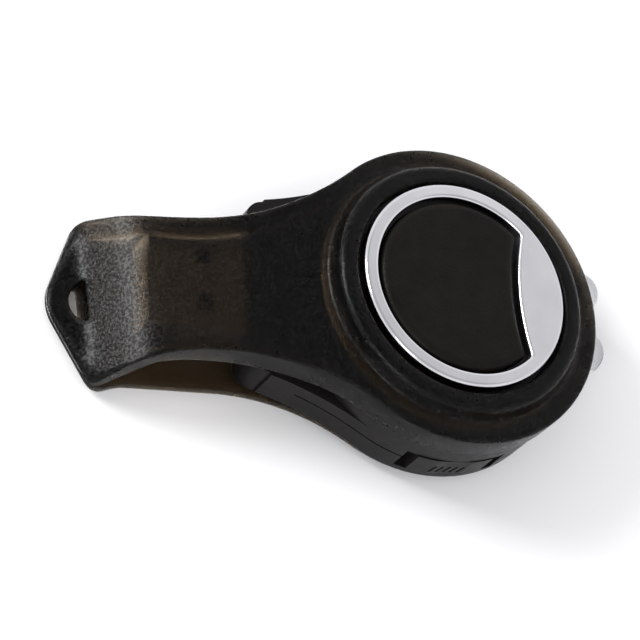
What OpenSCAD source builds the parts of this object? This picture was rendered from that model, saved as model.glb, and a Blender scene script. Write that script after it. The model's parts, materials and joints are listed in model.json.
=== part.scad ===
// Pocket training whistle: a round electronic core that swivels between two
// smoke-brown covers, which meet in a nose with a lanyard slot.
// Origin: swivel axis on the face that rests on the table. +X towards the
// lamps, +Y away from the slide switch, +Z up through the thumb button.

/* [Covers] */
// Radius of the top cover's round head
head_r = 17.44; // [17.2:0.02:17.8]
// Height of the top cover's head plate above the table
plate_top = 11.7; // [11.6:0.1:12.0]
// Wall thickness of the top cover
wall = 1.25; // [1.0:0.05:1.3]
// Depth of the top cover's rim below its plate
skirt_h = 3.3; // [3.1:0.1:3.4]
// Outer radius of the raised collar round the bezel
collar_r = 15; // [14.6:0.1:15.4]
// Height of that collar above the head plate
collar_h = 1.9; // [1.6:0.1:2.1]
// Thickness of the bottom cover
floor_t = 1.0; // [0.8:0.1:1.0]
// Radius of the bottom cover's head
floor_r = 16.3; // [16.0:0.1:16.6]
// Distance from the swivel axis to the tip of the nose
nose_x = 43.2; // [43:0.1:44]

/* [Core] */
// Radius of the case
case_r = 17.25; // [17.0:0.05:17.3]
// Angle between core and covers in the stored position, degrees
rest_turn = 4.9; // [0:0.1:6]
// Height of the seam between the case halves
seam_z = 4.6; // [4.5:0.1:4.8]
// Top of the neck that holds the plug
neck_top = 6.3; // [6.3:0.05:6.5]
// Distance from the swivel axis to the end of the neck
neck_end = 22; // [21:0.1:22]
// Case wall thickness
case_wall = 1.15; // [1.0:0.05:1.2]
// Outer radius of the chrome bezel
bezel_r = 12; // [11.8:0.05:12.1]
// Top of the bezel above the table
bezel_top = 14.1; // [13.9:0.1:14.3]
// Radius of the thumb button
button_r = 9.9; // [9.7:0.05:10.0]
// Travel of the thumb button
button_travel = 0.5; // [0.3:0.1:0.6]

/* [Plug, lamps and switch] */
// Width of the metal plug
plug_w = 12; // [12:0.1:12]
// Height of the metal plug
plug_h = 4.5; // [4.5:0.1:4.5]
// Distance from the swivel axis to the plug's mouth
plug_tip = 33.1; // [32:0.1:33.2]
// Radius of a lamp's lens
lamp_r = 2.5; // [2.4:0.1:2.6]
// Length of the slide switch's window
window_l = 11.9; // [11.8:0.1:12.2]
// Length of the slide switch's knob
knob_l = 9.1; // [8.9:0.1:9.1]

/* [Hidden] */
$fn = 96;

slack = 0.12;          // working gap between core and covers
run_gap = 0.05;        // running clearance of the swivel journals
case_bottom = floor_t + slack;
skirt_bottom = plate_top - skirt_h;
step_top = plate_top - wall - 0.35;   // top face of the case, under the washer
step_r = head_r - wall - 0.2;         // case radius inside the cover's rim
hub_r = bezel_r + 0.4;                // journal that the top cover turns on
hub_top = 12.8;
pivot_r = 8;                          // journal that the bottom cover turns on
cap_r = 9.2;
cap_t = 0.5;
inner_r = case_r - case_wall;
roof_t = 1;                           // thickness of the case's roof and floor
neck_roof_t = 0.6;
neck_w = 9.4;                         // half of the neck's width where it is narrowest
neck_corner = 2.2;                    // radius of its corners in plan
neck_flare = 0.75;                    // how much wider the neck is at its end
waist_x = 29;                         // where the strap is narrowest
waist_w = 7.6;                        // half of its width there
floor_w = 8.5;                        // half of the bottom cover's tail width
nose_parting = 1.5;                   // joint between the covers at the nose
nose_corner = [39.3, 9.3];            // corner between strap side and nose
tip_round = 5;
nose_undercut = 0.9;                  // taper of the nose towards its underside
slot_x = 40.1;                        // middle of the lanyard slot
slot_w = 1.7;
slot_l = 4.6;
slot_bow = 2.59;                      // radius of its round side
peg_r = 0.6;
board_z = 5.8;
board_t = 0.8;
board_top = board_z + board_t;
board_r = 15.2;
cell_r = 10;
cell_z = 2.3;
cell_t = 3.2;
tact_x = -1;                          // the push switch stands behind the centre
tact_w = 6;
tact_top = 9.2;
plunger_z = 7.75;                     // underside of the plunger, on the dome
post_z = tact_top + button_travel + 0.6;  // underside of the button's post
dome_sphere = 5;                      // radius of the snap dome's curve
dome_h = 0.7;
dome_t = 0.15;
bite_c = 35.6;                        // centre of the arc that cuts the opening
bite_r = 29.1;
plug_z = case_bottom;
plug_sheet = 0.3;
plug_root = 16.6;
lamp_z = 5.8;
lamp_y = [-1.45, 5.85];
lamp_base = 12.2;
lamp_dome = 18.8;                     // where the round end of a lamp begins
screw_at = [52, 128, -128, -58];
screw_r = 13.5;
knob_turn = 6.5;                      // the switch sits this far round the case
knob_shift = -0.1;                    // knob's middle in its window at rest
knob_z = 4.2;                         // middle of the switch's height
knob_h = 3.35;
window_h = 3.55;
window_depth = 2.4;

// Everything in the core is drawn in line with +X and turned to its stored angle.
module core() rotate([0, 0, -rest_turn]) children();

// Radius of the arc that runs from a straight side at half width w tangent to a circle r.
function blend_r(x, w, r) = (x * x + w * w - r * r) / (2 * (r - w));

// Tail with waisted sides, blended into a round head.
module waisted(r, x, w, reach) {
  b = blend_r(x, w, r);
  difference() {
    translate([-reach, -r]) square([reach, 2 * r]);
    for (s = [-1, 1]) translate([-x, s * (w + b)]) circle(r = b, $fn = 360);
    for (s = [-1, 1]) translate([0, s * r * 1.5]) square([2 * r * sin(atan(x / (w + b))), r * 2 - 1],
      center = true);
  }
}

// Outline of the nose: two slanted sides and a round tip.
module nose_field() {
  c = nose_x - tip_round;
  d = norm([nose_corner.x - c, nose_corner.y]);
  a = atan2(nose_corner.y, nose_corner.x - c) - acos(tip_round / d);
  arc = [for (k = [-6 : 6]) [-c - tip_round * cos(k / 6 * a), tip_round * sin(k / 6 * a)]];
  polygon(concat([[0, -22], [-nose_corner.x, -22], [-nose_corner.x, -nose_corner.y]], arc,
    [[-nose_corner.x, nose_corner.y], [-nose_corner.x, 22], [0, 22]]));
}

// Plan of the top cover, inset by the distance given.
module top_plan(inset = 0) {
  circle(r = head_r - inset);
  intersection() {
    waisted(head_r - inset, waist_x, waist_w - inset, nose_x);
    nose_field();
  }
}

// Straight-sided lanyard slot with one round side.
module slot_plan() {
  translate([-slot_x, 0]) intersection() {
    square([slot_w, slot_l], center = true);
    translate([slot_bow - slot_w / 2, 0]) circle(r = slot_bow);
  }
}

// Side view of the strap's upper face, from the nose up to the head plate.
strap_top = [[-44.5, 1.8], [-41.5, 2.15], [-40.1, 2.45], [-39.3, 2.95], [-38.4, 3.95], [-37.3, 5.2],
  [-36, 6.55], [-34.4, 7.65], [-32.2, 8.5], [-29.5, 9.15], [-26, 9.65], [-22, 10.15], [-18.5, 10.8],
  [-16.2, 11.3], [-14, 11.6], [-11.5, 11.7]];
// Side view of the lower edge of the strap's rims.
strap_rim = [[-38.2, 1.5], [-36.4, 2.75], [-35, 4.1], [-33.6, 5.5], [-32.8, 5.83], [-28, 6.3],
  [-22.5, 6.85], [-18, 7.55], [-14, 8.2], [-10, 8.4]];

module side_slab(points, width) rotate([90, 0, 0]) linear_extrude(width, center = true) polygon(points);

// Solid between the strap's upper face, lowered by the drop given, and the level given.
module under_strap(drop, level) side_slab(concat([[strap_top[0].x, level]],
  [for (p = strap_top) [p.x, p.y - drop]], [[20, plate_top - drop], [20, level]]), 40);

module collar_profile() {
  polygon(concat(
    [[hub_r + run_gap, plate_top - wall], [collar_r - 1.6, plate_top - wall],
      [collar_r, plate_top - 0.9]],
    [for (a = [0 : 15 : 90]) [collar_r - 1.25 + 0.9 * cos(a), plate_top + collar_h - 0.9 + 0.9 * sin(a)]],
    [for (a = [0 : 30 : 90]) [hub_r + run_gap + 0.45 - 0.45 * sin(a),
      plate_top + collar_h - 0.45 + 0.45 * cos(a)]]));
}

module top_cover() color([0.16, 0.12, 0.10]) difference() {
  union() {
    difference() {
      intersection() {
        linear_extrude(plate_top) top_plan();
        under_strap(0, nose_parting);
      }
      // hollow under the plate and the strap
      difference() {
        union() {
          intersection() {
            linear_extrude(plate_top) top_plan(wall);
            under_strap(wall, -1);
          }
          cylinder(r = head_r - wall, h = plate_top - wall);
        }
        translate([-nose_x - 1, -20, 0]) cube([nose_x + 1 - 38.4, 40, 20]);
      }
      // lower edge of the rims
      side_slab(concat([[-38.2, -1]], strap_rim, [[25, skirt_bottom], [25, -1]]), 40);
      // the head's rim ends above the case
      translate([0, 0, -1]) cylinder(r = head_r + 0.06, h = skirt_bottom + 1);
    }
    rotate_extrude() collar_profile();
    for (s = [-1, 1]) translate([-39.7, s * 6, nose_parting - 0.7]) cylinder(r = peg_r, h = 0.8);
  }
  translate([0, 0, -1]) cylinder(r = hub_r + run_gap, h = 30);
  translate([0, 0, -1]) linear_extrude(20) slot_plan();
}

// Nose half of the bottom cover, tapered towards the table, with rounded corners.
module nose_block() intersection() {
  hull() {
    translate([tip_round - nose_x, 0, 0])
      cylinder(r1 = tip_round - nose_undercut, r2 = tip_round, h = nose_parting, $fn = 32);
    for (s = [-1, 1]) translate([0.6 - nose_corner.x, s * (nose_corner.y - 1.1), 0])
      cylinder(r1 = 1 - nose_undercut, r2 = 1, h = nose_parting, $fn = 32);
  }
  translate([-nose_x - 1, -12, -1]) cube([nose_x + 1 - 38.3, 24, 4]);
}

module bottom_cover() color([0.16, 0.12, 0.10]) difference() {
  union() {
    cylinder(r = floor_r, h = floor_t);
    linear_extrude(floor_t) waisted(floor_r, 25, floor_w, 25);
    translate([-38.5, -floor_w, 0]) cube([14.5, 2 * floor_w, floor_t]);
    nose_block();
  }
  translate([0, 0, -1]) cylinder(r = pivot_r + run_gap, h = 5);
  translate([0, 0, -1]) cylinder(r = cap_r + 0.1, h = 1 + cap_t);
  for (s = [-1, 1]) translate([-39.7, s * 6, nose_parting - 0.75]) cylinder(r = peg_r + 0.02, h = 2);
  translate([0, 0, -1]) linear_extrude(20) slot_plan();
}

module tube(r_out, r_in, h) difference() {
  cylinder(r = r_out, h = h);
  translate([0, 0, -1]) cylinder(r = r_in, h = h + 2);
}

// Thin slip ring that gives the swivel its drag.
module swivel_washer() color([0.85, 0.85, 0.82]) core()
  translate([0, 0, step_top + 0.01]) tube(15.4, 13.2, 0.32);

module pivot_cap() color([0.18, 0.17, 0.17]) core() {
  cylinder(r = cap_r, h = cap_t - 0.03);
  cylinder(r = 2, h = 1.6);
}

// Plan of the case: round head and neck with rounded corners.
module case_plan(inset = 0) {
  r = case_r - inset;
  w = neck_w - inset;
  corner = max(neck_corner - inset, 0.5);
  end = neck_end - inset;
  side = w + neck_flare - corner;
  circle(r = r);
  intersection() {
    waisted(r, waist_x, w, end);
    union() {
      translate([-end + corner, -20]) square([end, 40]);
      translate([-end, -side]) square([end, 2 * side]);
      for (s = [-1, 1]) translate([-end + corner, s * side]) circle(r = corner);
    }
  }
}

module plug_block(grow) translate([-plug_tip, -plug_w / 2 - grow, plug_z - grow])
  cube([plug_tip - plug_root + grow, plug_w + 2 * grow, plug_h + 2 * grow]);

// Holes for the lamps, wider where their flanges sit.
module lamp_bores() for (y = lamp_y) translate([lamp_base, y, lamp_z]) rotate([0, 90, 0]) {
  cylinder(r = lamp_r + 0.06, h = 9);
  translate([0, 0, -0.3]) cylinder(r = lamp_r + 0.5, h = 1.4);
}

// Frame of the slide switch: +X along the knob's travel, +Y into the case.
module at_switch() rotate([0, 0, knob_turn]) translate([0, -case_r, knob_z]) children();

module switch_window() at_switch() translate([-window_l / 2, -1, -window_h / 2])
  cube([window_l, window_depth + 1, window_h]);

module screw_posts(r, h) for (a = screw_at) rotate([0, 0, a]) translate([screw_r, 0, 0])
  cylinder(r = r, h = h);

// D-shaped plan of the thumb button, cut by a shallow arc towards the lamps.
module button_plan(grow) difference() {
  circle(r = button_r + grow);
  translate([bite_c, 0]) circle(r = bite_r + 0.5 - grow, $fn = 360);
}

module bezel_hole(grow) difference() {
  circle(r = button_r + 0.5 + grow);
  translate([bite_c, 0]) circle(r = bite_r - grow, $fn = 360);
}

module upper_case() color([0.13, 0.12, 0.12]) core() difference() {
  union() {
    translate([0, 0, seam_z]) cylinder(r = case_r, h = skirt_bottom - slack - seam_z);
    translate([0, 0, seam_z]) cylinder(r = step_r, h = step_top - seam_z);
    translate([0, 0, seam_z]) linear_extrude(neck_top - seam_z) case_plan();
    cylinder(r = hub_r, h = hub_top);
  }
  // main cavity, stepped in under the cover's rim
  translate([0, 0, -1]) cylinder(r = inner_r, h = skirt_bottom - slack - roof_t + 1);
  translate([0, 0, 1]) cylinder(r = step_r - case_wall, h = step_top - roof_t - 1);
  translate([0, 0, 1]) linear_extrude(neck_top - neck_roof_t - 1) case_plan(case_wall);
  // well for the button and its flange
  cylinder(r = 11.2, h = 11.3);
  translate([0, 0, 1]) linear_extrude(20) button_plan(0.15);
  // seat of the bezel
  translate([0, 0, hub_top - 0.9]) tube(20, bezel_r - 0.75, 5);
  lamp_bores();
  switch_window();
  // sound outlet
  for (a = [-24 : -6 : -42]) rotate([0, 0, a]) translate([14, -0.45, 6]) cube([6, 0.9, 1.9]);
  plug_block(0.06);
}

module upper_posts() color([0.13, 0.12, 0.12]) core() translate([0, 0, seam_z + 0.05]) difference() {
  screw_posts(2, step_top - roof_t - seam_z);
  translate([0, 0, -1]) screw_posts(0.82, 4.9);
}

// Softens the lower edges of the neck's two hollow sides, in two facets.
module neck_edges() {
  b = blend_r(waist_x, neck_w, case_r);
  for (s = [-1, 1]) translate([-waist_x, s * (neck_w + b), case_bottom - 0.01]) {
    cylinder(r1 = b + 0.8, r2 = b + 0.3, h = 0.3, $fn = 240);
    cylinder(r1 = b + 0.5, r2 = b, h = 0.8, $fn = 240);
  }
}

module lower_case() color([0.13, 0.12, 0.12]) core() difference() {
  union() {
    difference() {
      union() {
        translate([0, 0, case_bottom]) linear_extrude(seam_z - case_bottom) case_plan();
        cylinder(r = pivot_r, h = case_bottom + 0.1);
      }
      translate([0, 0, case_bottom + roof_t]) linear_extrude(9) case_plan(case_wall);
      // rounded lower edge of the head
      translate([0, 0, case_bottom]) rotate_extrude() difference() {
        translate([case_r - 0.7, -0.1]) square([1, 0.8]);
        translate([case_r - 0.7, 0.7]) circle(r = 0.7);
      }
      neck_edges();
    }
    translate([0, 0, case_bottom + 0.5]) screw_posts(2, seam_z - case_bottom - 0.5);
  }
  translate([0, 0, -1]) cylinder(r = cap_r + 0.1, h = 1 + cap_t);
  cylinder(r = 2.02, h = 1.65);
  screw_posts(1.65, 2.3);
  screw_posts(0.95, 9);
  // groove along the seam
  translate([0, 0, seam_z - 0.2]) tube(20, case_r - 0.4, 1);
  lamp_bores();
  switch_window();
  plug_block(0.06);
}

// Bright ring with a wide crescent towards the lamps.
module chrome_bezel() color([0.85, 0.85, 0.87]) core() difference() {
  union() {
    rotate_extrude() polygon([[8, hub_top - 0.88], [8, bezel_top], [bezel_r - 0.35, bezel_top],
      [bezel_r, bezel_top - 0.35], [bezel_r, hub_top - 0.88]]);
    cylinder(r = 9, h = bezel_top);
  }
  translate([0, 0, -1]) linear_extrude(30) bezel_hole(0);
  translate([0, 0, -1]) cylinder(r = bezel_r - 0.73, h = hub_top + 1.02);
}

module thumb_button() color([0.12, 0.10, 0.09]) core() {
  difference() {
    union() {
      translate([0, 0, 11.2]) linear_extrude(bezel_top - 0.45 - 11.2) button_plan(0);
      translate([0, 0, 11.2]) linear_extrude(bezel_top - 0.1 - 11.2) button_plan(-0.35);
      translate([0, 0, 10.5]) linear_extrude(0.78) button_plan(0.45);
    }
    translate([0, 0, 10]) linear_extrude(bezel_top - 1.3 - 10) button_plan(-1.1);
  }
  translate([tact_x, 0, post_z]) cylinder(r = 2, h = bezel_top - 1.2 - post_z);
}

module switch_plunger() color([0.1, 0.1, 0.1]) core() translate([tact_x, 0, plunger_z]) {
  cylinder(r = 1.7, h = post_z - plunger_z - run_gap);
  cylinder(r = 2.2, h = 0.6);
}

module snap_dome() color([0.8, 0.8, 0.78]) core() translate([tact_x, 0, board_top + 0.42])
  rotate_extrude() difference() {
    translate([0, dome_h - dome_sphere]) circle(r = dome_sphere);
    translate([0, dome_h - dome_t - dome_sphere]) circle(r = dome_sphere);
    translate([-10, -20]) square([10, 40]);
    translate([0, -20]) square([10, 20]);
  }

module switch_frame() color([0.75, 0.75, 0.74]) core() translate([tact_x, 0, tact_top - 0.3]) difference() {
  translate([-tact_w / 2, -tact_w / 2, 0]) cube([tact_w, tact_w, 0.3]);
  translate([0, 0, -1]) cylinder(r = 1.78, h = 3);
}

module switch_base() color([0.1, 0.1, 0.1]) core() translate([tact_x, 0, board_top]) difference() {
  translate([-tact_w / 2, -tact_w / 2, 0]) cube([tact_w, tact_w, tact_top - 0.3 - board_top]);
  translate([0, 0, 0.4]) cylinder(r = 2.6, h = 5);
}

module circuit_board() color([0.07, 0.30, 0.16]) core() translate([0, 0, board_z]) difference() {
  cylinder(r = board_r, h = board_t);
  translate([0, 0, -1]) screw_posts(2.35, 4);
  translate([11.6, -20, -1]) cube([10, 40, 4]);
  translate([-35, -20, -1]) cube([20.2, 40, 4]);
  switch_notch();
}

// Notch in the board that clears the slide switch's pins and knob.
module switch_notch() rotate([0, 0, knob_turn]) translate([-5, -17, -1]) cube([10, 4.5, 4]);

module chip_block(x, y, w, l, h) translate([x - w / 2, y - l / 2, board_top]) cube([w, l, h]);

module controller_chip() color([0.12, 0.12, 0.13]) core() chip_block(-8.6, -3.2, 5, 6, 1.5);

module charger_chip() color([0.12, 0.12, 0.13]) core() chip_block(-8.4, 4.8, 3, 3, 1.1);

module chip_resistors() color([0.2, 0.2, 0.22]) core()
  for (k = [0 : 4]) chip_block(-4.5 + 2.1 * k, 10.4, 1, 1.8, 0.5);

module chip_capacitors() color([0.72, 0.6, 0.42]) core()
  for (k = [0 : 3]) chip_block(-12.2, -4.5 + 2.4 * k, 1.8, 1, 0.9);

module boost_coil() color([0.25, 0.22, 0.2]) core() translate([6.3, 5.2, board_top]) {
  tube(2.4, 1, 0.4);
  tube(1.7, 1, 2.2);
  translate([0, 0, 1.9]) tube(2.4, 1, 0.4);
  cylinder(r = 1, h = 2.3);
}

module sounder() color([0.1, 0.1, 0.11]) core() translate([6.2, -5, board_top]) difference() {
  translate([-3.7, -3.7, 0]) cube([7.4, 7.4, 1.9]);
  translate([0, 0, 1]) cylinder(r = 0.8, h = 2);
}

module cell() color([0.75, 0.76, 0.78]) core() translate([0, 0, cell_z]) {
  cylinder(r = cell_r, h = 2.4);
  cylinder(r = cell_r - 1.1, h = cell_t);
}

module cell_tabs() color([0.8, 0.8, 0.78]) core() {
  translate([1, -2, cell_z + cell_t]) cube([6, 4, 0.12]);
  translate([-6, -1.5, cell_z - 0.12]) cube([4, 3, 0.12]);
}

module plug_shell() color([0.78, 0.78, 0.8]) core() difference() {
  plug_block(0);
  translate([-1, 0, 0]) translate([-plug_tip, -plug_w / 2 + plug_sheet, plug_z + plug_sheet])
    cube([plug_tip - plug_root - 0.5, plug_w - 2 * plug_sheet, plug_h - 2 * plug_sheet]);
  for (s = [-1, 1]) translate([-plug_tip + 5.3, s * 2.93 - 1.15, plug_z - 1]) cube([1.95, 2.3, plug_h + 2]);
}

module plug_tongue() color([0.92, 0.92, 0.9]) core() translate([-plug_tip + 0.6, 0, plug_z]) {
  translate([0, -5.5, plug_sheet + 0.02]) cube([14.2, 11, 1.84]);
  translate([11, -5.6, plug_sheet + 0.02]) cube([3.2, 11.2, plug_h - 2 * plug_sheet - 0.04]);
}

module plug_contacts() color([0.85, 0.7, 0.3]) core() translate([-plug_tip + 1.6, 0, plug_z]) {
  for (y = [-3.5, -1, 1, 3.5]) translate([0, y - 0.5, plug_sheet + 1.86]) cube([8.6, 1, 0.2]);
}

module lamp(y) translate([0, y, lamp_z]) rotate([0, 90, 0]) {
  translate([0, 0, lamp_base]) cylinder(r = lamp_r + 0.4, h = 1);
  translate([0, 0, lamp_base]) cylinder(r = lamp_r, h = lamp_dome - lamp_base);
  translate([0, 0, lamp_dome]) sphere(r = lamp_r);
}

module lamp_near() color([0.9, 0.92, 0.95, 0.5]) core() lamp(lamp_y[0]);

module lamp_far() color([0.9, 0.92, 0.95, 0.5]) core() lamp(lamp_y[1]);

module lamp_leads() color([0.75, 0.75, 0.75]) core() for (y = lamp_y, s = [-1, 1])
  translate([lamp_base - 2, y + s * 1.27 - 0.25, board_top + 0.01]) cube([1.99, 0.5, 0.5]);

// Knob with a curved face and short grip grooves.
module slide_knob() color([0.14, 0.13, 0.13]) core() at_switch() translate([knob_shift, 0, 0]) difference() {
  intersection() {
    union() {
      translate([-knob_l / 2, 0, -knob_h / 2]) cube([knob_l, 2, knob_h]);
      translate([-2, 1.95, -window_h / 2 - 0.2]) cube([4, 0.5, window_h + 0.4]);
      translate([-1.2, 2.4, -0.65]) cube([2.4, 0.55, 1.3]);
    }
    translate([0, case_r, -5]) cylinder(r = case_r + 0.12, h = 10);
  }
  // five grip grooves, which lean a little and stay low on the face
  for (k = [-2 : 2]) translate([k * 0.85 - 0.2, 0, -0.45]) rotate([0, 12, 0])
    cube([0.3, 0.5, 1.5], center = true);
  translate([-0.55, 2.1, -0.66]) cube([1.1, 2, 1.32]);
}

// Lever of the slide switch, held in the fork of the knob.
module slide_lever() color([0.2, 0.2, 0.2]) core() at_switch()
  translate([knob_shift - 0.5, 2.15, -0.5]) cube([1, 3, 1]);

module slide_switch_body() color([0.72, 0.72, 0.7]) core() at_switch() difference() {
  translate([-3.5, 3.3, -2]) cube([7, 2.6, 3.55]);
  translate([-2.7, 3, -0.7]) cube([5.4, 2.3, 1.4]);
}

module slide_switch_pins() color([0.8, 0.8, 0.78]) core() at_switch()
  for (k = [-1 : 1]) translate([k * 2.5 - 0.2, 4, 1.56]) cube([0.4, 0.4, 1.0]);

module case_screws() color([0.6, 0.6, 0.62]) core() {
  translate([0, 0, case_bottom + 0.08]) screw_posts(1.5, 1.08);
  translate([0, 0, case_bottom + 0.08]) screw_posts(0.8, 7);
}

top_cover();
bottom_cover();
swivel_washer();
pivot_cap();
union() {
  upper_case();
  upper_posts();
}
lower_case();
chrome_bezel();
thumb_button();
switch_plunger();
snap_dome();
switch_frame();
switch_base();
circuit_board();
controller_chip();
charger_chip();
chip_resistors();
chip_capacitors();
boost_coil();
sounder();
cell();
cell_tabs();
plug_shell();
plug_tongue();
plug_contacts();
lamp_near();
lamp_far();
lamp_leads();
slide_knob();
slide_lever();
slide_switch_body();
slide_switch_pins();
case_screws();
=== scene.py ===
"""Looks of the pocket training whistle: smooth shells, button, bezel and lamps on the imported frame."""
import json
from math import acos, asin, atan2, cos, hypot, pi, radians, sin, sqrt

import bmesh
import bpy
from mathutils import Matrix, Vector
from mathutils.geometry import delaunay_2d_cdt


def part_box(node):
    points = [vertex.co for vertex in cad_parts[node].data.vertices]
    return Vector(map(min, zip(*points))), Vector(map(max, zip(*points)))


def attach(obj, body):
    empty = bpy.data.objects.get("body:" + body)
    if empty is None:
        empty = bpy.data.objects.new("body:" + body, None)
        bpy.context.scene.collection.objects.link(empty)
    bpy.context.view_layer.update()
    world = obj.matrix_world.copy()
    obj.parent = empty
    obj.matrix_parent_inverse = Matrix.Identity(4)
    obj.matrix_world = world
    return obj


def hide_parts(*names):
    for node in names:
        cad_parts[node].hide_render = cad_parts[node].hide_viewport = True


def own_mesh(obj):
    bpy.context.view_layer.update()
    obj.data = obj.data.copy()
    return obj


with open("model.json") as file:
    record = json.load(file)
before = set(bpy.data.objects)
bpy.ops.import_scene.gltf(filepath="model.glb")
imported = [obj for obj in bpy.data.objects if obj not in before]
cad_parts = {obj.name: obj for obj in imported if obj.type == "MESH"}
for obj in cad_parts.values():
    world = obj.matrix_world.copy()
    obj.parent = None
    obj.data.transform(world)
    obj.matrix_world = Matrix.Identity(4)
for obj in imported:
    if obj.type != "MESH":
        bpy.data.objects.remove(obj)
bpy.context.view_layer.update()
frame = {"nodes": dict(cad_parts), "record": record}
nodes = frame["nodes"]

# ---------------------------------------------------------------- sizes, in millimetres
MM = 0.001
REST_TURN = radians(-4.9)       # the core's stored angle


def top_of(node):
    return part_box(node)[1][2] / MM


def bottom_of(node):
    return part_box(node)[0][2] / MM


# covers
HEAD_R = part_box("top_cover")[1][1] / MM
NOSE_X = -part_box("top_cover")[0][0] / MM
COLLAR_TOP = top_of("top_cover")
COLLAR_H, SKIRT_H = 1.9, 3.3
PLATE_TOP = COLLAR_TOP - COLLAR_H
SKIRT = PLATE_TOP - SKIRT_H      # lower edge of the head's rim
WALL = 1.25
WAIST_X, WAIST_W = 29.0, 7.6
NOSE_CORNER_X = 39.3
TIP_ROUND = 5.0
NOSE_INNER_X = 38.4              # the nose is solid beyond this
PARTING = 1.5
COLLAR_R = 15.0
BORE_R = 12.45
FLOOR_R, FLOOR_T, FLOOR_W = 16.3, 1.0, 8.5
TAIL_X = 25.0                    # where the tail's sides meet the head's blend
PIVOT_BORE, PIVOT_SEAT, SEAT_H = 8.05, 9.3, 0.5
BLOCK_X = -38.3                  # inner face of the nose block
SLOT_X, SLOT_W, SLOT_L, SLOT_ROUND = 40.1, 1.7, 4.6, 2.59
# core
BEZEL_R = 12.0
BEZEL_TOP = top_of("chrome_bezel")
OPENING_R = 10.4
BITE_X, BITE_R = 35.6, 29.1      # the arc that cuts the D
BUTTON_R = 9.9
BUTTON_TOP = top_of("thumb_button")
LAMP_R, LAMP_Z = 2.5, 5.8
LAMP_BASE, LAMP_DOME = 12.2, 18.8
LAMP_Y = {"lamp_near": -1.45, "lamp_far": 5.85}
DOME_X, DOME_SPHERE, DOME_T = -1.0, 5.0, 0.15

STRAP_TOP = [(-44.5, 1.8), (-41.5, 2.15), (-40.1, 2.45), (-39.3, 2.95), (-38.4, 3.95), (-37.3, 5.2),
             (-36.0, 6.55), (-34.4, 7.65), (-32.2, 8.5), (-29.5, 9.15), (-26.0, 9.65), (-22.0, 10.15),
             (-18.5, 10.8), (-16.2, 11.3), (-14.0, 11.6), (-11.5, PLATE_TOP), (20.0, PLATE_TOP)]
STRAP_RIM = [(-44.5, PARTING), (-38.2, PARTING), (-36.4, 2.75), (-35.0, 4.1), (-33.6, 5.5), (-32.8, 5.83),
             (-28.0, 6.3), (-22.5, 6.85), (-18.0, 7.55), (-14.0, 8.2), (-10.0, SKIRT), (20.0, SKIRT)]


# ---------------------------------------------------------------- curves in plan
def smooth_height(points):
    """A function of x that runs through the points without overshooting them."""
    xs = [p[0] for p in points]
    zs = [p[1] for p in points]
    rise = [(zs[k + 1] - zs[k]) / (xs[k + 1] - xs[k]) for k in range(len(xs) - 1)]
    slope = [rise[0]]
    for a, b in zip(rise, rise[1:]):
        slope.append(0.0 if a * b <= 0 else 2 * a * b / (a + b))
    slope.append(rise[-1])

    def height(x):
        x = min(max(x, xs[0]), xs[-1])
        k = max(i for i in range(len(xs) - 1) if xs[i] <= x)
        w = xs[k + 1] - xs[k]
        t = (x - xs[k]) / w
        return ((1 + 2 * t) * (1 - t) ** 2 * zs[k] + t * (1 - t) ** 2 * w * slope[k]
                + t * t * (3 - 2 * t) * zs[k + 1] - t * t * (1 - t) * w * slope[k + 1])

    return height


strap_top = smooth_height(STRAP_TOP)
strap_rim = smooth_height(STRAP_RIM)


def blend_radius(x, w, r):
    """Radius of the arc that joins a waist of half width w, at x, to a circle r."""
    return (x * x + w * w - r * r) / (2 * (r - w))


def arc(cx, cy, r, a, b, count):
    return [Vector((cx + r * cos(a + (b - a) * k / count), cy + r * sin(a + (b - a) * k / count)))
            for k in range(count + 1)]


def round_corner(before, corner, after, size, count=8):
    """A smooth bend that starts and ends at that distance from the corner."""
    p = corner + (before - corner).normalized() * size
    q = corner + (after - corner).normalized() * size
    return [(1 - t) ** 2 * p + 2 * t * (1 - t) * corner + t * t * q
            for t in [k / count for k in range(count + 1)]]


def evenly(points, step):
    """The closed outline through the points, with points about a step apart and none doubled."""
    out = []
    for a, b in zip(points, points[1:] + points[:1]):
        gap = (b - a).length
        if gap < 0.02:
            continue
        parts = max(1, round(gap / step))
        out += [a.lerp(b, k / parts) for k in range(parts)]
    return out


def mirrored(half):
    """A closed outline from its +Y half, which runs from the nose to the head."""
    return half + [Vector((p.x, -p.y)) for p in reversed(half) if abs(p.y) > 1e-4]


def nose_half(corner):
    """From the tip of the nose to its corner, with the corner rounded."""
    cx = NOSE_X - TIP_ROUND
    reach = hypot(corner.x + cx, corner.y)
    a = atan2(corner.y, -corner.x - cx) - acos(TIP_ROUND / reach)
    tip = arc(-cx, 0, TIP_ROUND, pi, pi - a, 10)
    return tip, Vector((-cx - TIP_ROUND * cos(a), TIP_ROUND * sin(a)))


def head_half(r, x, w, count):
    """From the blend's end on the head's circle round to +X."""
    b = blend_radius(x, w, r)
    start = atan2(w + b, -x)
    return b, start, arc(0, 0, r, start, 0, count)


def cover_outline():
    """Plan of the top cover."""
    b, start, head = head_half(HEAD_R, WAIST_X, WAIST_W, 64)
    side = WAIST_W + b
    end = acos((WAIST_X - NOSE_CORNER_X) / b)
    waist = arc(-WAIST_X, side, b, -end, start - pi, 44)
    corner = waist[0]
    tip, leave = nose_half(corner)
    bend = round_corner(leave, corner, waist[4], 1.0)
    return evenly(mirrored(tip + bend + waist[4:] + head[1:]), 0.45)


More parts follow.
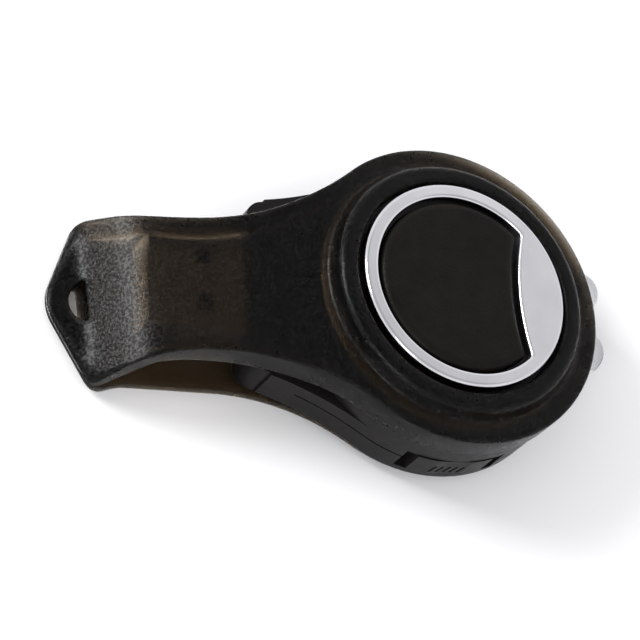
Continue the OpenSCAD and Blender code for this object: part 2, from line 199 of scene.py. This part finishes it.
def inner_outline():
    """Plan of the hollow under the top cover."""
    b = blend_radius(WAIST_X, WAIST_W, HEAD_R) + WALL
    side = WAIST_W + blend_radius(WAIST_X, WAIST_W, HEAD_R)
    start = atan2(side, -WAIST_X)
    end = acos((WAIST_X - NOSE_INNER_X) / b)
    waist = arc(-WAIST_X, side, b, -end, start - pi, 44)
    head = arc(0, 0, HEAD_R - WALL, start, 0, 64)
    front = [Vector((-NOSE_INNER_X, waist[0].y * k / 12)) for k in range(12)]
    return evenly(mirrored(front + waist + head[1:]), 0.45)


def floor_outline():
    """Plan of the bottom cover: the nose, a straight tail and a round head."""
    b, start, head = head_half(FLOOR_R, TAIL_X, FLOOR_W, 60)
    waist = arc(-TAIL_X, FLOOR_W + b, b, -pi / 2, start - pi, 20)
    cover_b = blend_radius(WAIST_X, WAIST_W, HEAD_R)
    reach = NOSE_CORNER_X - WAIST_X
    corner = Vector((-NOSE_CORNER_X, WAIST_W + cover_b - sqrt(cover_b ** 2 - reach ** 2)))
    tip, leave = nose_half(corner)
    shoulder = [Vector((corner.x + 4.5 * t, corner.y + (FLOOR_W - corner.y) * t * t * (3 - 2 * t)))
                for t in [k / 10 for k in range(1, 11)]]
    bend = round_corner(leave, corner, shoulder[2], 1.0)
    return evenly(mirrored(tip + bend + shoulder[2:] + waist + head[1:]), 0.45)


def slot_outline():
    """The lanyard slot: straight towards the head, round towards the tip."""
    right = -SLOT_X + SLOT_W / 2
    rise = asin(SLOT_L / 2 / SLOT_ROUND)
    bow = arc(right - SLOT_W + SLOT_ROUND, 0, SLOT_ROUND, pi - rise, pi + rise, 16)
    low, high = Vector((right, -SLOT_L / 2)), Vector((right, SLOT_L / 2))
    corners = round_corner(bow[-1], low, high, 0.25, 4) + round_corner(low, high, bow[0], 0.25, 4)
    return evenly(bow + corners, 0.3)


def ring(r, count, x=0.0):
    return [Vector((x + r * cos(2 * pi * k / count), r * sin(2 * pi * k / count))) for k in range(count)]


def inset(outline, distance):
    """The closed outline moved inwards by one distance, or by one for each point."""
    if not isinstance(distance, list):
        distance = [distance] * len(outline)
    area = sum(a.cross(b) for a, b in zip(outline, outline[1:] + outline[:1]))
    side = 1 if area > 0 else -1
    out = []
    for k, p in enumerate(outline):
        along = (outline[(k + 1) % len(outline)] - outline[k - 1]).normalized()
        out.append(p + Vector((-along.y, along.x)) * distance[k] * side)
    return out


def inside(p, outline):
    hit = False
    for a, b in zip(outline, outline[1:] + outline[:1]):
        if (a.y > p.y) != (b.y > p.y) and p.x < a.x + (b.x - a.x) * (p.y - a.y) / (b.y - a.y):
            hit = not hit
    return hit


# ---------------------------------------------------------------- mesh building
class Shell:
    """Collects faces in millimetres and welds them into one mesh."""

    def __init__(self):
        self.mesh = bmesh.new()

    def strip(self, low, high):
        """A closed band of quads between two rings of the same count."""
        a = [self.mesh.verts.new(p) for p in low]
        b = [self.mesh.verts.new(p) for p in high]
        for k in range(len(a)):
            n = (k + 1) % len(a)
            self.mesh.faces.new((a[k], a[n], b[n], b[k]))

    def strips(self, rings):
        for low, high in zip(rings, rings[1:]):
            self.strip(low, high)

    def fill(self, outline, holes, height, step=0.0, up=True):
        """A sheet over the plan with height(x, y), with a net of inner points a step apart."""
        coords, edges = [], []
        for loop in [outline] + holes:
            first = len(coords)
            coords += loop
            edges += [(first + k, first + (k + 1) % len(loop)) for k in range(len(loop))]
        if step:
            coords += inner_points(outline, holes, step)
        flat, _, faces, _, _, _ = delaunay_2d_cdt(coords, edges, [], 1, 1e-6)
        made = [self.mesh.verts.new((p.x, p.y, height(p.x, p.y))) for p in flat]
        for face in faces:
            middle = sum((flat[i] for i in face), Vector((0, 0))) / len(face)
            if any(inside(middle, hole) for hole in holes) or not inside(middle, outline):
                continue
            order = face if up else list(reversed(face))
            self.mesh.faces.new([made[i] for i in order])

    def disc(self, loop, height, middle):
        """Triangles from a ring to one middle point."""
        centre = self.mesh.verts.new((middle[0], middle[1], height))
        rim = [self.mesh.verts.new(p) for p in loop]
        for k in range(len(rim)):
            self.mesh.faces.new((rim[k], rim[(k + 1) % len(rim)], centre))

    def finish(self, name, material, turned=False, crease=40):
        """Welds, turns to the core's angle if asked, and returns the object in metres."""
        bmesh.ops.remove_doubles(self.mesh, verts=self.mesh.verts, dist=2e-4)
        bmesh.ops.dissolve_degenerate(self.mesh, edges=self.mesh.edges, dist=1e-5)
        bmesh.ops.recalc_face_normals(self.mesh, faces=self.mesh.faces)
        if self.mesh.calc_volume(signed=True) < 0:
            bmesh.ops.reverse_faces(self.mesh, faces=self.mesh.faces)
        place = Matrix.Scale(MM, 4)
        if turned:
            place = place @ Matrix.Rotation(REST_TURN, 4, "Z")
        self.mesh.transform(place)
        data = bpy.data.meshes.new(name)
        self.mesh.to_mesh(data)
        self.mesh.free()
        data.shade_smooth()
        data.set_sharp_from_angle(angle=radians(crease))
        obj = bpy.data.objects.new(name, data)
        bpy.context.scene.collection.objects.link(obj)
        data.materials.append(material)
        return obj


def inner_points(outline, holes, step):
    """A triangular net of points inside the outline, clear of every edge."""
    edge = [p for loop in [outline] + holes for p in loop]
    cell = {}
    for p in edge:
        cell.setdefault((int(p.x // 1), int(p.y // 1)), []).append(p)
    xs = [p.x for p in outline]
    ys = [p.y for p in outline]
    out = []
    row = 0
    y = min(ys)
    while y < max(ys):
        x = min(xs) + (step / 2 if row % 2 else 0)
        while x < max(xs):
            p = Vector((x, y))
            key = (int(x // 1), int(y // 1))
            near = [q for i in (-1, 0, 1) for j in (-1, 0, 1)
                    for q in cell.get((key[0] + i, key[1] + j), [])]
            clear = all((p - q).length > step * 0.6 for q in near)
            if clear and inside(p, outline) and not any(inside(p, hole) for hole in holes):
                out.append(p)
            x += step
        y += step * sqrt(3) / 2
        row += 1
    return out


def lifted(loop, height):
    """A plan outline raised to a level or to a function of x."""
    if callable(height):
        return [Vector((p.x, p.y, height(p.x))) for p in loop]
    return [Vector((p.x, p.y, height)) for p in loop]


def rounded_edge(outline, height, size, count=5):
    """Rings that turn from the wall onto the face, with the plan ring that the face starts from.

    size(x) gives how far in the turn reaches, and how far down.
    """
    rings = []
    for k in range(count + 1):
        a = k / count * pi / 2
        loop = inset(outline, [size(p.x)[0] * (1 - cos(a)) for p in outline])
        rings.append([Vector((q.x, q.y, height(q.x) - size(p.x)[1] * (1 - sin(a))))
                      for p, q in zip(outline, loop)])
    return rings, inset(outline, [size(p.x)[0] for p in outline])


# ---------------------------------------------------------------- materials
class Paint:
    """A Principled material with the helpers that its textures need."""

    def __init__(self, name, **values):
        self.material = bpy.data.materials.new(name)
        self.material.use_nodes = True
        self.tree = self.material.node_tree
        self.shader = self.tree.nodes["Principled BSDF"]
        self.output = self.tree.nodes["Material Output"]
        self.place = self.tree.nodes.new("ShaderNodeTexCoord").outputs["Object"]
        for key, value in values.items():
            self.shader.inputs[key.replace("_", " ")].default_value = value

    def link(self, source, target):
        self.tree.links.new(source, target)

    def noise(self, size, detail=3.0, stretch=(1, 1, 1)):
        """Noise whose blotches are about the given size in millimetres."""
        spread = self.tree.nodes.new("ShaderNodeMapping")
        spread.inputs["Scale"].default_value = [s / (size * MM) for s in stretch]
        self.link(self.place, spread.inputs["Vector"])
        noise = self.tree.nodes.new("ShaderNodeTexNoise")
        noise.inputs["Scale"].default_value = 1.0
        noise.inputs["Detail"].default_value = detail
        self.link(spread.outputs["Vector"], noise.inputs["Vector"])
        return noise.outputs["Fac"]

    def spread(self, value, low, high, start=0.3, end=0.7):
        """The value mapped from start..end to low..high."""
        node = self.tree.nodes.new("ShaderNodeMapRange")
        node.inputs["From Min"].default_value = start
        node.inputs["From Max"].default_value = end
        node.inputs["To Min"].default_value = low
        node.inputs["To Max"].default_value = high
        self.link(value, node.inputs["Value"])
        return node.outputs["Result"]

    def tint(self, value, dark, light):
        ramp = self.tree.nodes.new("ShaderNodeValToRGB")
        ramp.color_ramp.elements[0].position = 0.3
        ramp.color_ramp.elements[1].position = 0.7
        ramp.color_ramp.elements[0].color = (*dark, 1)
        ramp.color_ramp.elements[1].color = (*light, 1)
        self.link(value, ramp.inputs["Fac"])
        self.link(ramp.outputs["Color"], self.shader.inputs["Base Color"])

    def bump(self, value, depth, target="Normal"):
        """Bump with the height between the value's 0 and 1 in millimetres."""
        node = self.tree.nodes.new("ShaderNodeBump")
        node.inputs["Distance"].default_value = depth * MM
        self.link(value, node.inputs["Height"])
        self.link(node.outputs["Normal"], self.shader.inputs[target])

    def roughness(self, value, low, high):
        self.link(self.spread(value, low, high), self.shader.inputs["Roughness"])


def smoke_plastic():
    """Smoke-brown translucent plastic with a spark-eroded outer grain."""
    paint = Paint("smoke_cover", Base_Color=(1.0, 0.97, 0.93, 1), Transmission_Weight=1.0, IOR=1.13,
                  Coat_Roughness=0.34, Coat_IOR=1.3)
    paint.roughness(paint.noise(0.5), 0.26, 0.36)
    grain = paint.noise(0.29, 1.0)
    paint.link(paint.spread(grain, 0.12, 0.8, 0.42, 0.6), paint.shader.inputs["Coat Weight"])
    paint.bump(grain, 0.004)
    paint.bump(grain, 0.045, "Coat Normal")
    fog = paint.tree.nodes.new("ShaderNodeVolumeAbsorption")
    fog.inputs["Color"].default_value = (0.36, 0.29, 0.18, 1)
    fog.inputs["Density"].default_value = 2000.0
    paint.link(fog.outputs["Volume"], paint.output.inputs["Volume"])
    return paint.material


def moulded(name, dark, light, rough, grain, depth, specular=0.5):
    """Moulded plastic: a fine grain, faint mottling and uneven gloss."""
    paint = Paint(name, Specular_IOR_Level=specular)
    paint.tint(paint.noise(2.5, 4.0), dark, light)
    paint.roughness(paint.noise(0.8), rough - 0.05, rough + 0.05)
    paint.bump(paint.noise(grain, 2.0), depth)
    return paint.material


def metal(name, colour, rough, grain, depth, stretch=(1, 1, 1)):
    """Plated or plain metal with fine drawing marks and uneven gloss."""
    paint = Paint(name, Metallic=1.0)
    paint.tint(paint.noise(1.5), [c * 0.9 for c in colour], colour)
    paint.roughness(paint.noise(grain, 3.0, stretch), rough - 0.04, rough + 0.06)
    paint.bump(paint.noise(grain, 3.0, stretch), depth)
    return paint.material


def chrome():
    """Polished plating whose wide crescent is satin, with faint turning marks."""
    paint = Paint("bezel_chrome", Metallic=1.0)
    paint.tint(paint.noise(3.0), (0.62, 0.62, 0.645), (0.68, 0.68, 0.70))
    split = paint.tree.nodes.new("ShaderNodeSeparateXYZ")
    paint.link(paint.place, split.inputs["Vector"])
    satin = paint.spread(split.outputs["X"], 0.10, 0.30, 5.5 * MM, 7.5 * MM)
    paint.link(satin, paint.shader.inputs["Roughness"])
    paint.bump(paint.noise(0.12, 2.0), 0.0012)
    return paint.material


def clear_lens():
    """Clear moulded lens."""
    paint = Paint("lamp_clear", Base_Color=(0.97, 0.98, 1.0, 1), Transmission_Weight=1.0, IOR=1.5)
    paint.roughness(paint.noise(1.2), 0.02, 0.07)
    return paint.material


BLACK = ((0.008, 0.007, 0.0072), (0.012, 0.0105, 0.011))
LOOKS = {
    "smoke_cover": smoke_plastic(),
    "case_black": moulded("case_black", *BLACK, 0.36, 0.26, 0.02, 0.1),
    "bezel_chrome": chrome(),
    "button_black": moulded("button_black", (0.005, 0.0045, 0.004), (0.008, 0.007, 0.006),
                            0.38, 0.24, 0.045, 0.07),
    "washer_white": moulded("washer_white", (0.72, 0.72, 0.70), (0.80, 0.80, 0.78), 0.4, 0.3, 0.004),
    "lamp_clear": clear_lens(),
    "plug_steel": metal("plug_steel", (0.74, 0.74, 0.75), 0.26, 0.15, 0.003, (0.05, 1, 1)),
    "tongue_white": moulded("tongue_white", (0.80, 0.80, 0.77), (0.86, 0.86, 0.84), 0.4, 0.2, 0.003),
    "contact_gold": metal("contact_gold", (0.86, 0.62, 0.26), 0.22, 0.15, 0.002),
    "board_green": moulded("board_green", (0.010, 0.075, 0.030), (0.018, 0.11, 0.045), 0.3, 0.8, 0.01),
    "chip_black": moulded("chip_black", (0.016, 0.016, 0.018), (0.022, 0.022, 0.024), 0.5, 0.12, 0.008),
    "cap_tan": moulded("cap_tan", (0.40, 0.28, 0.15), (0.48, 0.34, 0.19), 0.45, 0.2, 0.005),
    "coil_dark": moulded("coil_dark", (0.045, 0.040, 0.036), (0.060, 0.052, 0.046), 0.55, 0.2, 0.01),
    "cell_steel": metal("cell_steel", (0.70, 0.71, 0.73), 0.30, 0.25, 0.003, (1, 0.1, 1)),
    "tin_steel": metal("tin_steel", (0.74, 0.74, 0.72), 0.34, 0.2, 0.003),
    "screw_steel": metal("screw_steel", (0.55, 0.56, 0.60), 0.30, 0.2, 0.003),
}
SLOT_OF = {p["node"]: p["material_slot"] for p in frame["record"]["subparts"]}


def stand_for(obj, node, body):
    """The mesh moves with the body and is seen in place of the CAD node."""
    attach(obj, body)
    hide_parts(node)


# ---------------------------------------------------------------- covers
def collar_profile():
    """From the head plate up over the collar and down the bore to the ceiling."""
    wall_top = COLLAR_TOP - 0.9
    turns = [radians(15 * k) for k in range(7)]
    outer = [(COLLAR_R - 1.25 + 0.9 * cos(a), wall_top + 0.9 * sin(a)) for a in turns]
    lip = 0.45
    inner = [(BORE_R + lip - lip * sin(a), COLLAR_TOP - lip + lip * cos(a)) for a in turns]
    return outer + inner


def top_cover():
    """Strap, nose, head plate and rim as one moulded shell, with the collar round the bezel."""
    shell = Shell()
    outline = cover_outline()
    hollow = inner_outline()
    slot_hole = slot_outline()
    base = ring(COLLAR_R + 0.3, 160)
    ceiling_top = PLATE_TOP - WALL

    # outer face, from the rim's lower edge up and over; the nose has a broader turn
    def turn(x):
        t = min(max((-36.5 - x) / 2.5, 0), 1)
        return 0.32 + 0.6 * t, 0.32 + t * (min(0.9, strap_top(x) - PARTING - 0.05) - 0.32)

    edge, face = rounded_edge(outline, strap_top, turn)
    chamfer = 0.12
    foot = inset(outline, chamfer)
    low = [Vector((p.x, p.y, strap_rim(p.x))) for p in foot]
    wall_low = [Vector((p.x, p.y, strap_rim(p.x) + chamfer)) for p in outline]
    middle = [a.lerp(b, 0.5) for a, b in zip(wall_low, edge[0])]
    shell.strips([low, wall_low, middle] + edge)
    slot_edge, slot_face = rounded_edge(slot_hole, strap_top, lambda x: (-0.14, 0.14), 3)
    shell.fill(face, [slot_face, base], lambda x, y: strap_top(x), 0.6)

    # collar
    foot_ring = lifted(base, strap_top)
    rings = [foot_ring]
    for share, out in ((0.35, 0.12), (1.0, 0.0)):
        rings.append([Vector((p.x, p.y, strap_top(p.x) + 0.3 * share))
                      for p in ring(COLLAR_R + out, 160)])
    for r, z in collar_profile():
        rings.append(lifted(ring(r, 160), z))
    rings.append(lifted(ring(BORE_R, 160), ceiling_top))
    shell.strips(rings)

    # slot through the nose
    slot_low = lifted(slot_hole, PARTING)
    shell.strips([slot_low] + slot_edge)

    # underside of the rim and of the nose
    shell.fill(foot, [hollow, slot_hole], lambda x, y: strap_rim(x))

    # inside
    def ceiling(x, y):
        if hypot(x, y) < HEAD_R - WALL + 0.01:
            return ceiling_top
        return min(strap_top(x) - WALL, ceiling_top)

    shell.strip(lifted(hollow, strap_rim), [Vector((p.x, p.y, ceiling(p.x, p.y))) for p in hollow])
    shell.fill(hollow, [ring(BORE_R, 160)], ceiling, 0.9)
    obj = shell.finish("top_shell", LOOKS["smoke_cover"])
    stand_for(obj, "top_cover", "cover")


def bottom_cover():
    """Flat tail and head that the case rests on, with the seat of the pivot cap."""
    shell = Shell()
    outline = floor_outline()
    slot_hole = slot_outline()
    bore = ring(PIVOT_BORE, 120)
    seat = ring(PIVOT_SEAT, 120)

    def upper(x):
        t = min(max((BLOCK_X + 0.6 - x) / 0.6, 0), 1)
        return FLOOR_T + (PARTING - FLOOR_T) * t * t * (3 - 2 * t)

    # the nose tapers towards the table
    taper = [0.18 + 0.82 * min(max((-37.5 - p.x) / 2, 0), 1) for p in outline]
    foot = inset(outline, taper)
    edge, face = rounded_edge(outline, upper, lambda x: (0.12, 0.15), 3)
    wall_low = [Vector((p.x, p.y, 0.18 + (upper(p.x) - 0.4) * min(t - 0.18, 0.8)))
                for p, t in zip(outline, taper)]
    shell.strips([lifted(foot, 0.0), wall_low] + edge)
    shell.fill(face, [slot_hole, bore], lambda x, y: upper(x), 0.9)
    shell.fill(foot, [slot_hole, seat], lambda x, y: 0.0)
    shell.strips([lifted(seat, 0.0), lifted(seat, SEAT_H), lifted(bore, SEAT_H), lifted(bore, FLOOR_T)])
    shell.strip(lifted(slot_hole, 0.0), lifted(slot_hole, PARTING))
    obj = shell.finish("bottom_shell", LOOKS["smoke_cover"])
    stand_for(obj, "bottom_cover", "cover")


# ---------------------------------------------------------------- bezel and button
def d_radius(r, bite, angle, soft):
    """Distance from the middle to the D's edge, with its two corners rounded."""
    c = cos(angle)
    under = (BITE_X * c) ** 2 - (BITE_X ** 2 - bite ** 2)
    if c <= 0 or under <= 0:
        return r
    t = BITE_X * c - sqrt(under)
    gap = max(soft - abs(r - t), 0)
    return min(r, t) - gap * gap / (4 * soft)


def d_ring(r, bite, z, count=288, soft=0.5):
    out = []
    for k in range(count):
        a = 2 * pi * k / count
        d = d_radius(r, bite, a, soft)
        out.append(Vector((d * cos(a), d * sin(a), z)))
    return out


def scaled(loop, share, z):
    return [Vector((p.x * share, p.y * share, z)) for p in loop]


def chrome_bezel():
    """Flat bright ring with rounded lips and a wide crescent towards the lamps."""
    shell = Shell()
    count = 288
    low = bottom_of("chrome_bezel")
    lip, inner_lip = 0.38, 0.32
    rings = [lifted(ring(BEZEL_R - 0.6, count), low), lifted(ring(BEZEL_R, count), low),
             lifted(ring(BEZEL_R, count), BEZEL_TOP - lip)]
    for k in range(1, 7):
        a = k / 6 * pi / 2
        rings.append(lifted(ring(BEZEL_R - lip * (1 - cos(a)), count), BEZEL_TOP - lip * (1 - sin(a))))
    rings.append(lifted(ring(BEZEL_R - lip - 0.04, count), BEZEL_TOP))
    rings.append(d_ring(OPENING_R + inner_lip + 0.04, BITE_R - inner_lip - 0.04, BEZEL_TOP))
    for k in range(0, 7):
        a = k / 6 * pi / 2
        grow = inner_lip * (1 - sin(a))
        rings.append(d_ring(OPENING_R + grow, BITE_R - grow, BEZEL_TOP - inner_lip * (1 - cos(a))))
    rings.append(d_ring(OPENING_R, BITE_R, low + 0.8))
    rings.append(lifted(ring(BEZEL_R - 0.6, count), low + 0.8))
    rings.append(rings[0])
    shell.strips(rings)
    obj = shell.finish("bezel_ring", LOOKS["bezel_chrome"], turned=True, crease=50)
    stand_for(obj, "chrome_bezel", "core")


def thumb_button():
    """D-shaped cap with a broad rounded edge and an almost flat top."""
    shell = Shell()
    bite = BITE_R + 0.5
    skirt = BEZEL_TOP - 1.6
    drop, width = 0.62, 0.95
    rings = [d_ring(BUTTON_R, bite, skirt), d_ring(BUTTON_R, bite, BUTTON_TOP - drop)]
    for k in range(1, 9):
        a = k / 8 * pi / 2
        grow = width * (1 - cos(a))
        rings.append(d_ring(BUTTON_R - grow, bite + grow, BUTTON_TOP - drop * (1 - sin(a))))
    flat = d_ring(BUTTON_R - width, bite + width, BUTTON_TOP)
    for share in (0.99, 0.9, 0.7, 0.45, 0.2):
        rings.append(scaled(flat, share, BUTTON_TOP))
    shell.strips(rings)
    shell.disc(rings[-1], BUTTON_TOP, (0, 0))
    shell.disc(list(reversed(rings[0])), skirt, (0, 0))
    obj = shell.finish("button_cap", LOOKS["button_black"], turned=True, crease=50)
    stand_for(obj, "thumb_button", "button")


# ---------------------------------------------------------------- lamps
def lens_ring(y, x, r, count=56):
    return [Vector((x, y + r * cos(2 * pi * k / count), LAMP_Z + r * sin(2 * pi * k / count)))
            for k in range(count)]


def lamp(node):
    """Clear lens with a flange and a round end."""
    y = LAMP_Y[node]
    shell = Shell()
    rings = [lens_ring(y, LAMP_BASE, LAMP_R + 0.4), lens_ring(y, LAMP_BASE + 0.85, LAMP_R + 0.4),
             lens_ring(y, LAMP_BASE + 1, LAMP_R + 0.25), lens_ring(y, LAMP_BASE + 1.02, LAMP_R)]
    rings += [lens_ring(y, LAMP_DOME - 2 + k, LAMP_R) for k in range(3)]
    for k in range(1, 14):
        a = k / 14 * pi / 2
        rings.append(lens_ring(y, LAMP_DOME + LAMP_R * sin(a), LAMP_R * cos(a)))
    shell.strips(rings)
    for loop, x in ((rings[0], LAMP_BASE), (rings[-1], LAMP_DOME + LAMP_R)):
        middle = shell.mesh.verts.new((x, y, LAMP_Z))
        rim = [shell.mesh.verts.new(p) for p in loop]
        for k in range(len(rim)):
            shell.mesh.faces.new((rim[k], rim[(k + 1) % len(rim)], middle))
    lens = shell.finish(node.replace("lamp", "lens"), LOOKS["lamp_clear"], turned=True)
    stand_for(lens, node, "core")


def lamp_core(node):
    """Anvil, post and reflector cup that show through the lens."""
    y = LAMP_Y[node]
    shell = Shell()
    face = LAMP_DOME + 0.1
    cup = [(LAMP_BASE + 0.6, 0.35), (face - 1.6, 0.35), (face - 1.3, 1.05), (face, 1.15), (face, 1.0),
           (face - 0.55, 0.45), (face - 0.55, 0.02)]
    shell.strips([lens_ring(y, x, r, 32) for x, r in cup])
    post = [(LAMP_BASE + 0.6, 0.22), (face - 0.7, 0.22), (face - 0.6, 0.55), (face - 0.2, 0.5),
            (face - 0.15, 0.02)]
    shell.strips([lens_ring(y + 1.5, x, r, 20) for x, r in post])
    obj = shell.finish(node.replace("lamp", "anvil"), LOOKS["tin_steel"], turned=True)
    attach(obj, "core")


# ---------------------------------------------------------------- the push switch's dome
def dome_side(top, base):
    """Rings of one face of the dome, from its foot up to near its top."""
    widest = acos((base - top + DOME_SPHERE) / DOME_SPHERE)
    angles = [widest * (1 - k / 12) for k in range(12)]
    return [lifted(ring(DOME_SPHERE * sin(a), 48, DOME_X), top - DOME_SPHERE * (1 - cos(a))) for a in angles]


def snap_dome():
    """Thin sprung dome under the plunger, built in its resting shape; the real one flattens as the button
    goes down.
    """
    shell = Shell()
    base, top = bottom_of("snap_dome"), top_of("snap_dome")
    outer, inner = dome_side(top, base), dome_side(top - DOME_T, base)
    for face, height in ((outer, top), (inner, top - DOME_T)):
        shell.strips(face)
        shell.disc(face[-1], height, (DOME_X, 0))
    shell.strip(outer[0], inner[0])
    obj = shell.finish("dome_spring", LOOKS["tin_steel"], turned=True)
    stand_for(obj, "snap_dome", "core")
    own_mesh(obj)


# ---------------------------------------------------------------- carried-over CAD nodes
def dress(node, bevel=0.08, segments=2):
    """Gives a CAD node its material and softens its edges."""
    obj = nodes[node]
    if not obj.material_slots:
        obj.data.materials.append(LOOKS[SLOT_OF[node]])
    for held in obj.material_slots:
        held.material = LOOKS[SLOT_OF[node]]
    soft = obj.modifiers.new("soft_edges", "BEVEL")
    soft.width = bevel * MM
    soft.segments = segments
    soft.limit_method = "ANGLE"
    soft.angle_limit = radians(40)
    soft.use_clamp_overlap = True
    soft.harden_normals = True


# ---------------------------------------------------------------- stage, lights and camera
def pale_floor():
    mesh = bmesh.new()
    bmesh.ops.create_grid(mesh, x_segments=1, y_segments=1, size=3.0)
    data = bpy.data.meshes.new("floor")
    mesh.to_mesh(data)
    mesh.free()
    paint = Paint("pale_floor", Roughness=0.6, Specular_IOR_Level=0.2)
    paint.tint(paint.noise(30.0), (0.90, 0.90, 0.905), (0.91, 0.91, 0.915))
    data.materials.append(paint.material)
    floor = bpy.data.objects.new("floor", data)
    floor.location.z = -0.00002
    bpy.context.scene.collection.objects.link(floor)


def soft_light(name, azimuth, elevation, distance, size, power):
    """A square area light that looks at the whistle's middle."""
    light = bpy.data.lights.new(name, "AREA")
    light.shape = "SQUARE"
    light.size = size
    light.energy = power
    obj = bpy.data.objects.new(name, light)
    a, e = radians(azimuth), radians(elevation)
    place = Vector((cos(e) * cos(a), cos(e) * sin(a), sin(e))) * distance
    obj.location = place + Vector((-0.012, 0, 0))
    obj.rotation_euler = place.to_track_quat("Z", "Y").to_euler()
    bpy.context.scene.collection.objects.link(obj)


def surroundings():
    """A white tent that is dimmer overhead."""
    world = bpy.data.worlds.new("studio")
    world.use_nodes = True
    tree = world.node_tree
    back = tree.nodes["Background"]
    back.inputs["Color"].default_value = (1.0, 1.0, 1.02, 1)
    way = tree.nodes.new("ShaderNodeTexCoord")
    split = tree.nodes.new("ShaderNodeSeparateXYZ")
    fade = tree.nodes.new("ShaderNodeMapRange")
    fade.inputs["From Min"].default_value = sin(radians(48))
    fade.inputs["From Max"].default_value = sin(radians(55))
    fade.inputs["To Min"].default_value = 1.05
    fade.inputs["To Max"].default_value = 0.6
    tree.links.new(way.outputs["Generated"], split.inputs["Vector"])
    tree.links.new(split.outputs["Z"], fade.inputs["Value"])
    tree.links.new(fade.outputs["Result"], back.inputs["Strength"])
    bpy.context.scene.world = world


def camera():
    """Looks down at the whistle from the nose's near side, rolled as the photograph is."""
    tilt, turn, roll = radians(36.58), radians(-137.25), radians(45.62)
    aim = Vector((-0.01292, -0.00081, 0.00425))
    back = Vector((sin(tilt) * cos(turn), sin(tilt) * sin(turn), cos(tilt)))
    level = Vector((-sin(turn), cos(turn), 0))
    rise = back.cross(level)
    right = level * cos(roll) + rise * sin(roll)
    up = -level * sin(roll) + rise * cos(roll)
    data = bpy.data.cameras.new("camera")
    data.sensor_width = 36.0
    data.lens = 156.8
    data.clip_start = 0.01
    obj = bpy.data.objects.new("camera", data)
    facing = Matrix((right, up, back)).transposed().to_4x4()
    obj.matrix_world = Matrix.Translation(aim + back * 0.300) @ facing
    bpy.context.scene.collection.objects.link(obj)
    bpy.context.scene.camera = obj


top_cover()
bottom_cover()
chrome_bezel()
thumb_button()
snap_dome()
for lamp_node in LAMP_Y:
    lamp(lamp_node)
    lamp_core(lamp_node)
REBUILT = {"top_cover", "bottom_cover", "chrome_bezel", "thumb_button", "snap_dome", *LAMP_Y}
for cad_node in nodes:
    if cad_node not in REBUILT:
        dress(cad_node)

pale_floor()
surroundings()
soft_light("key", 152, 30, 0.9, 0.35, 7.0)
soft_light("fill", -134, 36, 0.9, 0.3, 2.0)
camera()
bpy.context.scene.view_settings.view_transform = "Standard"
